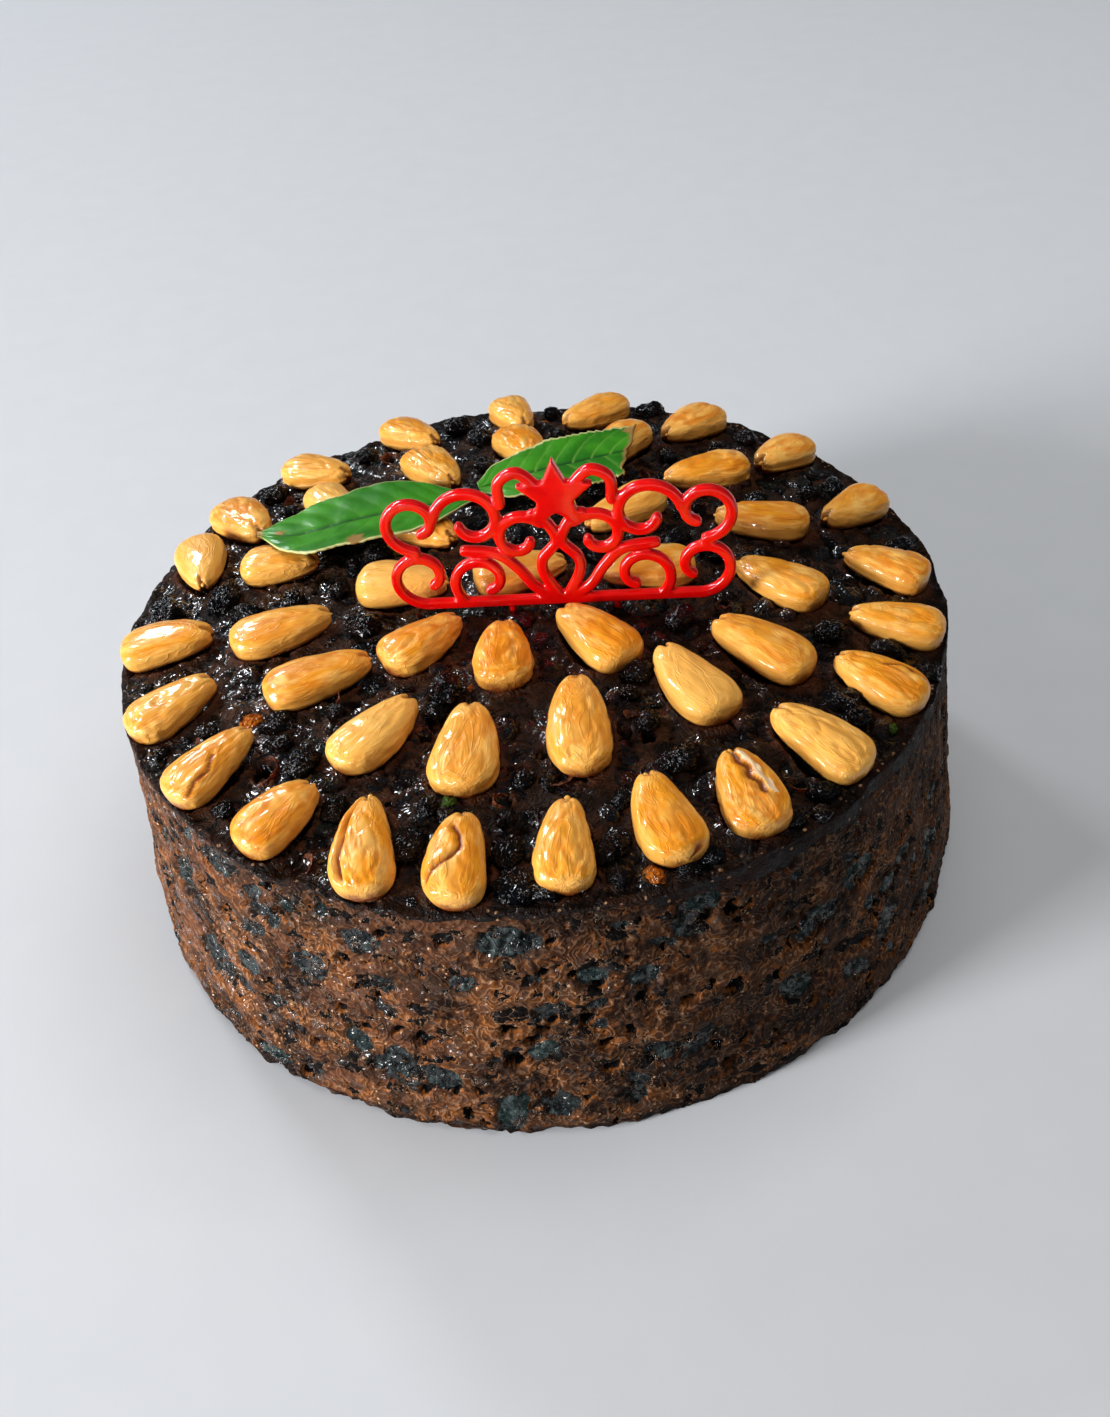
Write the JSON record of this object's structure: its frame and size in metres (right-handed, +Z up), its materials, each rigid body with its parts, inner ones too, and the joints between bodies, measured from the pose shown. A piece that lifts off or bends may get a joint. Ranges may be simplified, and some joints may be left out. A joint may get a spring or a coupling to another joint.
{
  "type": "christmas cake",
  "caption": "Round dark fruit cake, domed and craggy on top, under rings of whole glazed almonds, with green leaves and a red scrollwork plaque on pins.",
  "frame": {"origin": "middle of the flat base, on the surface that the cake stands on", "axes": "+Z up, -Y towards the front, where the plaque faces, +X to the right seen from the front"},
  "size_m": [0.2118, 0.2112, 0.1107],
  "materials": {
    "crust": "dark brown baked fruit cake, glazed and craggy on top, dull crumb at the side, with near-black raisins",
    "almond": "whole blanched almond, golden tan to cream, under a clear sticky glaze",
    "leaf": "fresh waxy green leaf with a darker midrib and a pale edge",
    "plaque": "glossy bright red moulded plastic"
  },
  "bodies": {
    "root": {"almond_inner_01": "almond", "almond_inner_02": "almond", "almond_inner_03": "almond", "almond_inner_04": "almond", "almond_inner_05": "almond", "almond_inner_06": "almond", "almond_inner_07": "almond", "almond_inner_08": "almond", "almond_middle_01": "almond", "almond_middle_02": "almond", "almond_middle_03": "almond", "almond_middle_04": "almond", "almond_middle_05": "almond", "almond_middle_06": "almond", "almond_middle_07": "almond", "almond_middle_08": "almond", "almond_middle_09": "almond", "almond_middle_10": "almond", "almond_middle_11": "almond", "almond_middle_12": "almond", "almond_middle_13": "almond", "almond_middle_14": "almond", "almond_middle_15": "almond", "almond_outer_01": "almond", "almond_outer_02": "almond", "almond_outer_03": "almond", "almond_outer_04": "almond", "almond_outer_05": "almond", "almond_outer_06": "almond", "almond_outer_07": "almond", "almond_outer_08": "almond", "almond_outer_09": "almond", "almond_outer_10": "almond", "almond_outer_11": "almond", "almond_outer_12": "almond", "almond_outer_13": "almond", "almond_outer_14": "almond", "almond_outer_15": "almond", "almond_outer_16": "almond", "almond_outer_17": "almond", "almond_outer_18": "almond", "almond_outer_19": "almond", "almond_outer_20": "almond", "almond_outer_21": "almond", "almond_outer_22": "almond", "cake": "crust", "leaf_left": "leaf", "leaf_right": "leaf", "plaque": "plaque"}
  },
  "joints": []
}
